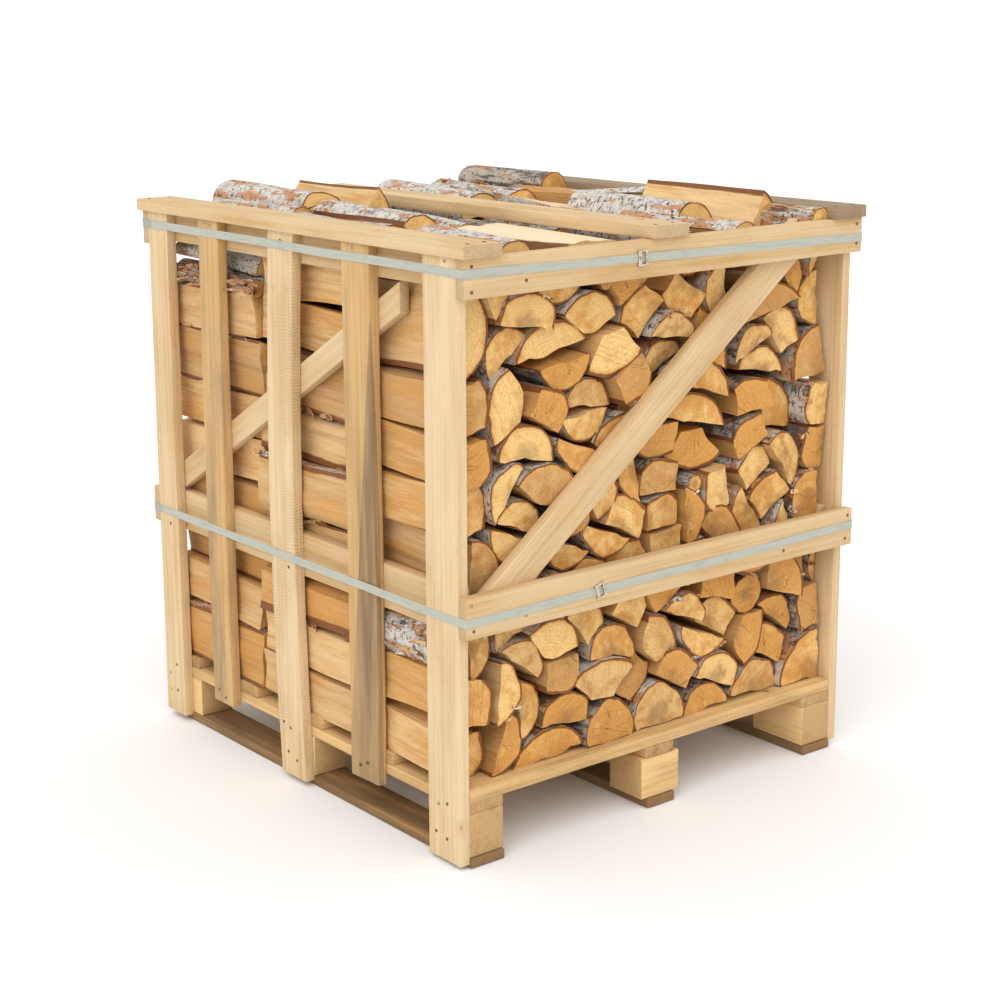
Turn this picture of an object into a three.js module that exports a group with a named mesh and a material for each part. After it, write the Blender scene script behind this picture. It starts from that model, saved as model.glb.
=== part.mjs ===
// A crate of split birch firewood: a slatted, strapped wooden crate on a nine-block pallet,
// filled with three ranks of logs that all lie front to back.
// Units are millimetres. X runs along the log ends, Y runs along the logs, Z is up.
import * as THREE from 'three';

// ---- Driving dimensions ----
const crateWidth = 996;        // over the outer faces of the side slats
const crateDepth = 1048;       // over the outer edges of the corner slats
const boardThick = 22;         // slats, rails and braces
const gap = 0.3;               // clearance left between two touching pieces
const frameTop = 1110;         // top of the slats and the top rails

const runnerThick = 20;        // bottom boards of the pallet
const blockHeight = 82;
const stringerThick = 22;      // boards that lie on the blocks
const deckThick = 24;          // boards that carry the logs
const skidWidth = 78;          // side runners, side blocks and side stringers
const middleRunnerWidth = 72;
const middleBlockWidth = 100;
const deckBoardWidth = 100;
const deckBoardCount = 5;

const topBoardThick = 24;
const topBoardWidth = 86;
const topBoardLength = 1112;   // overhangs both end rails
const endRailOverhang = 6;     // of the end rails past the right-hand slats
const topRailHeight = 70;
const middleRailHeight = 76;
const middleRailTop = 516;
const sideTopRailHeight = 60;
const sideMiddleRailHeight = 86;
const endBraceWidth = 66;
const sideBraceWidth = 50;

const strapWidth = 16;
const strapThick = 0.9;

const logLength = 330;
const rankSpacing = 334;       // from one rank of logs to the next

const halfWidth = crateWidth / 2;
const halfDepth = crateDepth / 2;
const palletHalfWidth = halfWidth - boardThick;      // the slats are nailed to the pallet's sides
const runnerTop = runnerThick;
const blockTop = runnerTop + blockHeight;
const stringerTop = blockTop + stringerThick;
const deckTop = stringerTop + deckThick;
const logHalfWidth = halfWidth - 2 * boardThick - 1;  // inside the side rails

// ---- Materials ----
const wood = (name, colour, roughness) =>
  new THREE.MeshStandardMaterial({ name, color: new THREE.Color(...colour), roughness, metalness: 0 });

const palePine = wood('pale_board', [0.86, 0.68, 0.42], 0.75);
const wornBoard = wood('worn_board', [0.62, 0.49, 0.32], 0.85);
const palletBoard = wood('pallet_board', [0.6, 0.44, 0.25], 0.85);
const birchLog = wood('birch_log', [0.78, 0.54, 0.27], 0.8);
const birchBark = wood('birch_bark', [0.78, 0.75, 0.7], 0.85);
const strapFinish = new THREE.MeshStandardMaterial({
  name: 'strap', color: new THREE.Color(0.62, 0.66, 0.6), roughness: 0.5, metalness: 0,
});
const buckleFinish = new THREE.MeshStandardMaterial({
  name: 'buckle_wire', color: new THREE.Color(0.6, 0.6, 0.58), roughness: 0.35, metalness: 1,
});

// ---- Building helpers ----
const crate = new THREE.Group();

function addPiece(name, geometry, material, position, rotation = [0, 0, 0]) {
  const piece = new THREE.Mesh(geometry, material);
  piece.name = name;
  piece.position.set(...position);
  piece.rotation.set(...rotation);
  crate.add(piece);
  return piece;
}

// A straight board between two corners, drawn in by half the gap on every side.
function addBoard(name, material, [x0, x1], [y0, y1], [z0, z1]) {
  const geometry = new THREE.BoxGeometry(x1 - x0 - gap, y1 - y0 - gap, z1 - z0 - gap);
  addPiece(name, geometry, material, [(x0 + x1) / 2, (y0 + y1) / 2, (z0 + z1) / 2]);
}

// An outline drawn in Y and Z, made into a board that is thick along X from x0.
function addSideOutline(name, material, outline, x0, thickness, centreY = 0) {
  const geometry = new THREE.ExtrudeGeometry(outline, {
    depth: thickness - gap, bevelEnabled: false, curveSegments: 6,
  });
  geometry.rotateX(Math.PI / 2);
  geometry.rotateZ(Math.PI / 2);
  addPiece(name, geometry, material, [x0 + gap / 2, centreY, 0]);
}

// An outline drawn in X and Z, made into a solid that is deep along Y from y0.
function addEndOutline(name, material, outline, y0, depth) {
  const geometry = new THREE.ExtrudeGeometry(outline, {
    depth: depth - gap, bevelEnabled: false, curveSegments: 5,
  });
  geometry.rotateX(Math.PI / 2);
  addPiece(name, geometry, material, [0, y0 + depth - gap / 2, 0]);
}

// A slanted board's outline: from (u0, v0) up to (u1, v1) along its middle, with upright ends.
function braceOutline([u0, v0], [u1, v1], width) {
  const halfUpright = (width / 2) * Math.hypot(u1 - u0, v1 - v0) / Math.abs(u1 - u0);
  return new THREE.Shape([
    new THREE.Vector2(u0, v0 - halfUpright),
    new THREE.Vector2(u1, v1 - halfUpright),
    new THREE.Vector2(u1, v1 + halfUpright),
    new THREE.Vector2(u0, v0 + halfUpright),
  ]);
}

// ---- Pallet: runners, blocks, stringers and deck ----
const skids = [
  { side: 'left', x: [-palletHalfWidth, -palletHalfWidth + skidWidth], blocks: [98, 96, 112] },
  { side: 'middle', x: [-55, -55 + middleBlockWidth], blocks: [92, 96, 92] },
  { side: 'right', x: [palletHalfWidth - skidWidth, palletHalfWidth], blocks: [140, 96, 112] },
];
const middleRunnerLeft = -41;
const middleBlockY = 24;       // the middle row of blocks stands just behind the centre

for (const { side, x, blocks } of skids) {
  const narrow = side === 'middle';
  const plankX = narrow ? [middleRunnerLeft, middleRunnerLeft + middleRunnerWidth] : x;
  addBoard(`runner_${side}`, palletBoard, plankX, [-halfDepth - 4, halfDepth], [0, runnerTop]);
  addBoard(`stringer_${side}`, palletBoard, plankX, [-halfDepth, halfDepth], [blockTop, stringerTop]);
  const rows = [
    ['front', -halfDepth, -halfDepth + blocks[0]],
    ['middle', middleBlockY - blocks[1] / 2, middleBlockY + blocks[1] / 2],
    ['back', halfDepth - blocks[2], halfDepth],
  ];
  for (const [row, y0, y1] of rows) {
    addBoard(`block_${side}_${row}`, palletBoard, x, [y0, y1], [runnerTop, blockTop]);
  }
}

for (let i = 0; i < deckBoardCount; i++) {
  const y0 = -halfDepth + (i * (crateDepth - deckBoardWidth)) / (deckBoardCount - 1);
  addBoard(`deck_board_${i + 1}`, palletBoard, [-palletHalfWidth, palletHalfWidth],
    [y0, y0 + deckBoardWidth], [stringerTop, deckTop]);
}

// ---- Side slats, numbered from the front ----
// Each has its front edge, its width, the height it starts at, and how far it bows to the back.
const slats = {
  left: [
    { front: 0, width: 94, bottom: 8, bow: 0, finish: palePine },
    { front: 254, width: 86, bottom: 82, bow: -3, finish: wornBoard },
    { front: 500, width: 86, bottom: 12, bow: 20, finish: palePine },
    { front: 771, width: 74, bottom: 92, bow: 4, finish: wornBoard },
    { front: crateDepth - 76, width: 76, bottom: 15, bow: 0, finish: palePine },
  ],
  right: [
    { front: 0, width: 82, bottom: 14, bow: 0, finish: palePine },
    { front: 238, width: 78, bottom: 86, bow: 6, finish: palePine },
    { front: 486, width: 88, bottom: 10, bow: -8, finish: wornBoard },
    { front: 742, width: 80, bottom: 90, bow: 5, finish: palePine },
    { front: crateDepth - 84, width: 84, bottom: 12, bow: 0, finish: palePine },
  ],
};

function slatOutline({ width, bottom, bow }) {
  const top = frameTop - gap / 2;
  const middle = (bottom + top) / 2;
  const control = 2 * bow;      // a quadratic curve passes half-way to its control point
  const outline = new THREE.Shape();
  outline.moveTo(0, bottom);
  outline.quadraticCurveTo(control, middle, 0, top);
  outline.lineTo(width, top);
  outline.quadraticCurveTo(width + control, middle, width, bottom);
  outline.closePath();
  return outline;
}

for (const [side, row] of Object.entries(slats)) {
  const x0 = side === 'left' ? -halfWidth : palletHalfWidth;
  row.forEach((slat, i) => {
    addSideOutline(`slat_${side}_${i + 1}`, slat.finish, slatOutline(slat), x0, boardThick,
      slat.front - halfDepth);
  });
}

// ---- Rails and braces inside the slats ----
const sideRailZ = [frameTop - sideTopRailHeight, frameTop];
const sideMiddleZ = [middleRailTop + 2 - sideMiddleRailHeight, middleRailTop + 2];

for (const [side, x0] of [['left', -palletHalfWidth], ['right', palletHalfWidth - boardThick]]) {
  const x = [x0, x0 + boardThick];
  const y = [-halfDepth + boardThick + 1, halfDepth - boardThick - 1];
  addBoard(`side_rail_top_${side}`, palePine, x, y, sideRailZ);
  addBoard(`side_rail_middle_${side}`, palePine, x, y, sideMiddleZ);
  // The brace rises from the back of the middle rail to the front of the top rail.
  const rise = Math.tan(THREE.MathUtils.degToRad(30.7));
  const halfUpright = sideBraceWidth / 2 / Math.cos(Math.atan(rise));
  const backY = halfDepth - boardThick - 40;
  const reach = (sideRailZ[0] - sideMiddleZ[1] - 2 * halfUpright - 2) / rise;
  addSideOutline(`side_brace_${side}`, palePine,
    braceOutline([backY, sideMiddleZ[1] + halfUpright + 1], [backY - reach, sideRailZ[0] - halfUpright - 1],
      sideBraceWidth), x0, boardThick);
}

// ---- Rails and braces on the two ends ----
const railX = [-halfWidth, halfWidth + endRailOverhang];
const topRailZ = [frameTop - topRailHeight, frameTop];
const middleRailZ = [middleRailTop - middleRailHeight, middleRailTop];

for (const [end, y0, braceY] of [
  ['front', -halfDepth - boardThick, -halfDepth],
  ['back', halfDepth, halfDepth - boardThick],
]) {
  addBoard(`end_rail_top_${end}`, palePine, railX, [y0, y0 + boardThick], topRailZ);
  addBoard(`end_rail_middle_${end}`, palePine, railX, [y0, y0 + boardThick], middleRailZ);
  addEndOutline(`end_brace_${end}`, palePine,
    braceOutline([-440, middleRailTop - 50], [340, frameTop - 36], endBraceWidth), braceY, boardThick);
}

// ---- Boards across the top ----
const topBoards = [
  ['left', -halfWidth - 8, palePine],
  ['middle', -67, palePine],
  ['right', halfWidth + endRailOverhang - topBoardWidth, wornBoard],
];
for (const [side, x0, finish] of topBoards) {
  addBoard(`top_board_${side}`, finish, [x0, x0 + topBoardWidth],
    [-topBoardLength / 2, topBoardLength / 2], [frameTop, frameTop + topBoardThick]);
}

// ---- Straps: a flat band round the end rails and the side slats, with a wire buckle in front ----
const strapHalfX = halfWidth + endRailOverhang + gap;
const strapHalfY = halfDepth + boardThick + gap;

function addStrap(name, leftHeight, rightHeight) {
  const corners = [
    [-halfWidth - gap, -strapHalfY], [strapHalfX, -strapHalfY],
    [strapHalfX, strapHalfY], [-halfWidth - gap, strapHalfY],
  ];
  const inner = new THREE.Path(corners.map(([x, y]) => new THREE.Vector2(x, y)));
  const outline = new THREE.Shape(corners.map(([x, y]) =>
    new THREE.Vector2(x + Math.sign(x) * strapThick, y + Math.sign(y) * strapThick)));
  outline.holes.push(inner);
  const band = new THREE.ExtrudeGeometry(outline, { depth: strapWidth, bevelEnabled: false });
  const strap = addPiece(name, band, strapFinish, [0, 0, (leftHeight + rightHeight) / 2 - strapWidth / 2]);
  // The band slopes a little from the left side to the right side.
  const slope = (rightHeight - leftHeight) / (2 * halfWidth);
  const place = strap.geometry.attributes.position;
  for (let i = 0; i < place.count; i++) {
    place.setZ(i, place.getZ(i) + slope * place.getX(i));
  }
  return slope;
}

function addBuckle(name, x, z, turn) {
  const width = 26;
  const height = 21;
  const wire = 3;
  const frame = new THREE.Shape([
    new THREE.Vector2(-width / 2, -height / 2), new THREE.Vector2(width / 2, -height / 2),
    new THREE.Vector2(width / 2, height / 2), new THREE.Vector2(-width / 2, height / 2),
  ]);
  frame.holes.push(new THREE.Path([
    new THREE.Vector2(-width / 2 + wire, -height / 2 + wire), new THREE.Vector2(-width / 2 + wire, height / 2 - wire),
    new THREE.Vector2(width / 2 - wire, height / 2 - wire), new THREE.Vector2(width / 2 - wire, -height / 2 + wire),
  ]));
  const geometry = new THREE.ExtrudeGeometry(frame, { depth: wire, bevelEnabled: false });
  geometry.rotateZ(turn);
  geometry.rotateX(Math.PI / 2);
  addPiece(name, geometry, buckleFinish, [x, -strapHalfY - strapThick - gap, z]);
}

const topStrap = { left: 1084, right: 1069, buckleX: -90 };
const middleStrap = { left: 470, right: 481, buckleX: -186 };
for (const [name, strap, turn] of [['top', topStrap, 0.05], ['middle', middleStrap, -0.25]]) {
  const slope = addStrap(`strap_${name}`, strap.left, strap.right);
  addBuckle(`strap_buckle_${name}`, strap.buckleX, (strap.left + strap.right) / 2 + slope * strap.buckleX, turn);
}

// ---- The three ranks of logs, each one solid with the rounded tops of its uppermost logs ----
const rankTops = {
  front: [1082, 1074, 1062, 1060, 1064, 1086, 1090, 1058, 1058, 1074],
  middle: [1076, 1060, 1058, 1062, 1064, 1078, 1086, 1058, 1056, 1070],
  back: [1004, 1050, 1048, 1048, 1078, 1066, 1068, 1084, 1074, 1080],
};
const valleyDrop = 20;         // from a log's top down to the valley beside it

function rankOutline(tops) {
  const pitch = (2 * logHalfWidth) / tops.length;
  const outline = new THREE.Shape();
  outline.moveTo(logHalfWidth, deckTop + gap / 2);
  let rightValley = tops[tops.length - 1] - valleyDrop;
  outline.lineTo(logHalfWidth, rightValley);
  for (let i = tops.length - 1; i >= 0; i--) {
    const leftValley = Math.min(tops[i], tops[Math.max(i - 1, 0)]) - valleyDrop;
    const left = -logHalfWidth + i * pitch;
    outline.quadraticCurveTo(left + pitch / 2, 2 * tops[i] - (leftValley + rightValley) / 2, left, leftValley);
    rightValley = leftValley;
  }
  outline.lineTo(-logHalfWidth, deckTop + gap / 2);
  outline.closePath();
  return outline;
}

Object.entries(rankTops).forEach(([rank, tops], i) => {
  const y0 = (i - 1) * rankSpacing - logLength / 2;
  addEndOutline(`log_rank_${rank}`, birchLog, rankOutline(tops), y0, logLength);
});

// ---- Loose logs on top of the ranks ----
// A section has its pith at the origin; an arc of bark runs between two angles, in degrees.
function splitSection(radius, from, to, flats = []) {
  const outline = new THREE.Shape();
  outline.absarc(0, 0, radius, THREE.MathUtils.degToRad(from), THREE.MathUtils.degToRad(to), false);
  flats.forEach(([x, z]) => outline.lineTo(x, z));
  outline.closePath();
  return outline;
}

const looseLogs = [
  { name: 'loose_log_round', section: splitSection(50, 0, 359.9), at: [-298, 338, 1112], yaw: 2, finish: birchBark },
  { name: 'loose_log_half', section: splitSection(60, -130, 50), at: [-176, 334, 1112], yaw: -3, finish: birchLog },
  { name: 'loose_log_squared', section: splitSection(48, 40, 130, [[-34, -30], [36, -32]]),
    at: [-292, 2, 1096], yaw: -4, finish: birchLog },
  { name: 'loose_log_flat', section: splitSection(150, -120, -60, [[72, -112], [-74, -110]]),
    at: [-146, -315, 1219], yaw: 3, finish: birchLog },
  { name: 'loose_log_bark_half', section: splitSection(58, 20, 200), at: [265, -150, 1082], yaw: 0, finish: birchBark },
  { name: 'loose_log_quarter', section: splitSection(90, 3, 62, [[0, 0]]), at: [330, -240, 1080], yaw: 0, finish: birchLog },
  { name: 'loose_log_white', section: splitSection(52, 10, 190), at: [110, 333, 1084], yaw: 0, finish: birchBark },
];

for (const log of looseLogs) {
  const geometry = new THREE.ExtrudeGeometry(log.section, { depth: logLength, bevelEnabled: false, curveSegments: 10 });
  geometry.translate(0, 0, -logLength / 2);
  geometry.rotateX(Math.PI / 2);
  addPiece(log.name, geometry, log.finish, log.at, [0, 0, THREE.MathUtils.degToRad(log.yaw)]);
}

// A short loose stick that fell through onto the left stringer.
addPiece('loose_stick', new THREE.CylinderGeometry(8, 10, 96, 7), birchBark,
  [-palletHalfWidth + 38, 118, stringerTop + 11], [0, 0, THREE.MathUtils.degToRad(-40)]);

// ---- Origin: bottom centre of the whole crate ----
const extent = new THREE.Box3().setFromObject(crate);
const centre = extent.getCenter(new THREE.Vector3());
crate.position.set(-centre.x, -centre.y, -extent.min.z);
crate.updateMatrixWorld(true);

export default crate;
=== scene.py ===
import math
import random

import bmesh
import bpy
import numpy
from mathutils import Matrix, Vector, geometry, noise


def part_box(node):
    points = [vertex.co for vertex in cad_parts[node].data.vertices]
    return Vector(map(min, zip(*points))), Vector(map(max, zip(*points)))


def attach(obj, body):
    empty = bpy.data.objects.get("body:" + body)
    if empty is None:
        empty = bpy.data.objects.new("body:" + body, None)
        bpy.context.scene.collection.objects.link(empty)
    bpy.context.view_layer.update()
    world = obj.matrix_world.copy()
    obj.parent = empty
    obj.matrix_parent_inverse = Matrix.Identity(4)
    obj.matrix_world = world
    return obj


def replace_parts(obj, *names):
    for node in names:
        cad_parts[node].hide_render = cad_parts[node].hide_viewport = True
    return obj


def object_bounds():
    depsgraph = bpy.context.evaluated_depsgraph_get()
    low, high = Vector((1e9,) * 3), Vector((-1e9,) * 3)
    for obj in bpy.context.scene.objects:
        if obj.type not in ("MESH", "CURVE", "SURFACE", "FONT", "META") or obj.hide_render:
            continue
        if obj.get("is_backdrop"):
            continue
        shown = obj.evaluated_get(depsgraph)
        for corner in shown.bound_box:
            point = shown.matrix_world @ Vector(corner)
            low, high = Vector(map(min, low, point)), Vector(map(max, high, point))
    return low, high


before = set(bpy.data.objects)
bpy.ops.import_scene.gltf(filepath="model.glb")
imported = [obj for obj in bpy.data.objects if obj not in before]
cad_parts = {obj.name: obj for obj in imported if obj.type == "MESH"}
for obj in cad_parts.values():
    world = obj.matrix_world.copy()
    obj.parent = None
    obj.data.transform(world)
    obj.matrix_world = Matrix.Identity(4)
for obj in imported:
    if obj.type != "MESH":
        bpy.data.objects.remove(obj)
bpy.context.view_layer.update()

# ---- The view ----
# The camera stands a few metres off the front left corner, at head height, and looks a little down.
# The crate fills the picture as an object does in a catalogue, with plain white round it.
camera_place = Vector((-2.523, -3.132, 1.531))
camera_yaw = math.radians(37.63)        # from +Y towards +X
camera_dip = math.radians(12.24)
camera_roll = math.radians(-0.54)

camera = bpy.data.objects.new("camera", bpy.data.cameras.new("camera"))
bpy.context.scene.collection.objects.link(camera)
camera.data.lens = 71.05
camera.data.sensor_width = 36.0
camera.data.shift_x = 0.05
camera.data.shift_y = -0.07
turn = (
    Matrix.Rotation(-camera_yaw, 4, "Z")
    @ Matrix.Rotation(math.pi / 2 - camera_dip, 4, "X")
    @ Matrix.Rotation(camera_roll, 4, "Z")
)
camera.matrix_world = Matrix.Translation(camera_place) @ turn
bpy.context.scene.camera = camera
bpy.context.scene.view_settings.view_transform = "Standard"


# ---- Pallet: runners, blocks, stringers and deck ----
# Rough sawn softwood boards, nailed through blocks. They are the cheapest wood of the crate: dull, dirty
# from the ground, and never planed, so their arrises are soft and their faces wander a little.
rough_arris = 0.0026
rough_waviness = 0.0012
pallet_pale = (0.78, 0.52, 0.235, 1)
pallet_deep = (0.42, 0.235, 0.085, 1)
pallet_grey = (0.165, 0.098, 0.047, 1)
pallet_looks = {"runner": (-1.5, 0.95), "block": (0.9, 0.15), "stringer": (0.1, 0.3), "deck": (0.0, 0.25)}
knot_rim = (0.16, 0.07, 0.03, 1)
knot_heart = (0.33, 0.17, 0.07, 1)
wane_pale = (0.42, 0.27, 0.135, 1)
wane_deep = (0.17, 0.11, 0.06, 1)
board_station = 0.045          # a board gets a row of points this often, so that its faces can wander


class Wire:
    """One output of a material's node, which takes part in arithmetic as a number does."""

    def __init__(self, tree, socket=None):
        self.tree = tree
        self.socket = socket

    def node(self, kind, settings=None, sockets=None, output=0):
        made = self.tree.nodes.new("ShaderNode" + kind)
        for name, value in (settings or {}).items():
            setattr(made, name, value)
        for name, value in (sockets or {}).items():
            if isinstance(value, Wire):
                self.tree.links.new(value.socket, made.inputs[name])
            else:
                made.inputs[name].default_value = value
        return Wire(self.tree, made.outputs[output])

    def maths(self, operation, *others):
        return self.node("Math", {"operation": operation}, dict(enumerate((self, *others))))

    def __add__(self, other):
        return self.maths("ADD", other)

    def __sub__(self, other):
        return self.maths("SUBTRACT", other)

    def __rsub__(self, other):
        return self.node("Math", {"operation": "SUBTRACT"}, {0: other, 1: self})

    def __mul__(self, other):
        return self.maths("MULTIPLY", other)

    def __pow__(self, other):
        return self.maths("POWER", other)

    def __abs__(self):
        return self.maths("ABSOLUTE")

    __radd__ = __add__
    __rmul__ = __mul__


def new_finish(name):
    finish = bpy.data.materials.new(name)
    finish.use_nodes = True
    finish.node_tree.nodes.clear()
    return finish, Wire(finish.node_tree)


def stored(start, name):
    return start.node("Attribute", {"attribute_name": name}, output="Vector")


def parts_of(vector):
    return [vector.node("SeparateXYZ", {}, {0: vector}, output=i) for i in range(3)]


def stretched(vector, x, y, z):
    return vector.node("VectorMath", {"operation": "MULTIPLY"}, {0: vector, 1: (x, y, z)})


def moved(vector, other):
    return vector.node("VectorMath", {"operation": "ADD"}, {0: vector, 1: other})


def length_of(vector):
    return vector.node("VectorMath", {"operation": "LENGTH"}, {0: vector}, output="Value")


def mottle(place, stretch, detail=2.0, roughness=0.5):
    sockets = {"Vector": stretched(place, *stretch), "Scale": 1.0, "Detail": detail, "Roughness": roughness}
    return place.node("TexNoise", {}, sockets)


def ramp(value, low, high):
    sockets = {"Value": value, "From Min": low, "From Max": high}
    return value.node("MapRange", {"interpolation_type": "SMOOTHSTEP"}, sockets)


def blend(share, first, second):
    return share.node("Mix", {"data_type": "RGBA"}, {0: share, 6: first, 7: second}, output=2)


def coat(finish, start, colour, roughness, height, depth, gloss=0.3, metal=0.0):
    normal = start.node("Bump", {}, {"Strength": 1.0, "Distance": depth, "Height": height})
    sockets = {"Base Color": colour, "Roughness": roughness, "Normal": normal}
    sockets.update({"Specular IOR Level": gloss, "Metallic": metal})
    surface = start.node("BsdfPrincipled", {}, sockets)
    out = finish.node_tree.nodes.new("ShaderNodeOutputMaterial")
    finish.node_tree.links.new(surface.socket, out.inputs["Surface"])


def sawn_finish(name, pale, deep, grey):
    """Softwood as the saw leaves it. Growth rings run round a pith that lies beside the board.

    Each board stores its own place in the tree, and a look: how pale, how weathered, how rippled by the saw.
    """
    finish, start = new_finish(name)
    grain = stored(start, "grain")
    along = parts_of(grain)[0]
    tone, weather, ripple = parts_of(stored(start, "look"))
    end = start.node("Attribute", {"attribute_name": "end_grain"}, output="Fac")
    wane = start.node("Attribute", {"attribute_name": "wane"}, output="Fac")

    wander = mottle(grain, (1.7, 7.0, 7.0))
    radius = length_of(stretched(grain, 0.0, 1.0, 1.0)) + wander * 0.035
    rings = (radius * 1500.0).maths("SINE") * 0.5 + 0.5
    streak = mottle(grain, (2.2, 110.0, 110.0), 3.0, 0.6)
    fibre = mottle(grain, (25.0, 900.0, 900.0))
    blotch = mottle(grain, (3.5, 14.0, 14.0), 3.0)
    fleck = ramp(mottle(grain, (60.0, 260.0, 260.0), 2.0, 0.6), 0.55, 0.75)
    dark = ramp(streak, 0.38, 0.70) * 0.42 + rings ** 2.0 * 0.1
    dark = dark + ramp(blotch, 0.35, 0.8) * 0.5 + fleck * 0.25
    colour = blend((dark - tone * 0.4).maths("MAXIMUM", 0.0), pale, deep)

    # a knot every few hundred millimetres, brown with a darker rim
    spot = stretched(grain, 6.0, 6.0, 3.0)
    from_knot = start.node("TexVoronoi", {}, {"Vector": spot, "Scale": 1.0}, output="Distance")
    chance = parts_of(start.node("TexVoronoi", {}, {"Vector": spot, "Scale": 1.0}, output="Color"))[0]
    inside = ramp(chance, 0.55, 1.0) * 0.075 - from_knot
    knot = ramp(inside, -0.01, 0.012) * ramp(chance, 0.55, 0.6)
    halo = ramp(inside, -0.12, 0.0) * ramp(chance, 0.55, 0.6)
    colour = blend(halo * 0.35, colour, deep)
    colour = blend(knot * 0.7, colour, blend(ramp(inside, 0.0, 0.03), knot_rim, knot_heart))

    # weathering and dirt lie in streaks along the board
    stain = mottle(grain, (2.6, 32.0, 32.0), 4.0, 0.62)
    cloud = mottle(grain, (6.0, 11.0, 11.0), 3.0)
    grime = ramp(stain + weather * 0.45, 0.56, 0.98) * ramp(cloud + weather * 0.5, 0.4, 0.8)
    colour = blend(grime * 0.85, colour, grey)
    waned = ramp(wane + (fibre - 0.5) * 0.05 + (cloud - 0.5) * 0.12, 0.49, 0.53)
    colour = blend(waned * 0.85, colour, blend(ramp(stain, 0.3, 0.75), wane_pale, wane_deep))
    colour = blend(end * 0.5, colour, blend(rings, deep, grey))

    saw_wobble = mottle(grain, (14.0, 26.0, 26.0))
    saw = (along * 1000.0 + saw_wobble * 26.0).maths("SINE")
    saw_patch = ramp(mottle(grain, (5.0, 9.0, 9.0), 1.0), 0.42, 0.62)
    colour = blend(ramp(saw, 0.0, 1.0) * ripple * saw_patch * 0.3, colour, deep)
    height = streak * 0.5 + fibre * 0.35 + rings * 0.12
    height = height + saw * saw_patch * (ripple * 0.4 + 0.05) - knot * 0.2
    roughness = 0.62 + streak * 0.25 + grime * 0.1
    coat(finish, start, colour, roughness, height, 0.0011)
    return finish


def copy_of(source, name):
    copy = bpy.data.objects.new(name, source.data.copy())
    bpy.context.scene.collection.objects.link(copy)
    return copy


def paint(piece, *finishes):
    piece.data.materials.clear()
    for finish in finishes:
        piece.data.materials.append(finish)


def select_only(*pieces):
    bpy.ops.object.select_all(action="DESELECT")
    for piece in pieces:
        piece.select_set(True)
    bpy.context.view_layer.objects.active = pieces[0]


def join(pieces):
    select_only(*pieces)
    bpy.ops.object.join()
    return pieces[0]


def open_mesh(piece):
    select_only(piece)
    bpy.ops.object.mode_set(mode="EDIT")
    bpy.ops.mesh.select_all(action="SELECT")


def slice_mesh(place, normal, **what):
    bpy.ops.mesh.select_all(action="SELECT")
    bpy.ops.mesh.bisect(plane_co=place, plane_no=normal, **what)


def places_of(piece):
    places = numpy.empty(len(piece.data.vertices) * 3)
    piece.data.vertices.foreach_get("co", places)
    return places.reshape(-1, 3)


def put_places(piece, places):
    piece.data.vertices.foreach_set("co", numpy.ascontiguousarray(places, dtype=float).ravel())
    piece.data.update()


def store(piece, name, values):
    kind, key = ("FLOAT", "value") if values.ndim == 1 else ("FLOAT_VECTOR", "vector")
    domain = "POINT" if len(values) == len(piece.data.vertices) else "FACE"
    layer = piece.data.attributes.new(name, kind, domain)
    layer.data.foreach_set(key, numpy.ascontiguousarray(values, dtype=float).ravel())


def store_look(piece, name, look):
    store(piece, name, numpy.tile(look, (len(piece.data.vertices), 1)))


def smooth(piece, degrees):
    select_only(piece)
    bpy.ops.object.shade_smooth_by_angle(angle=math.radians(degrees))


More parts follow.
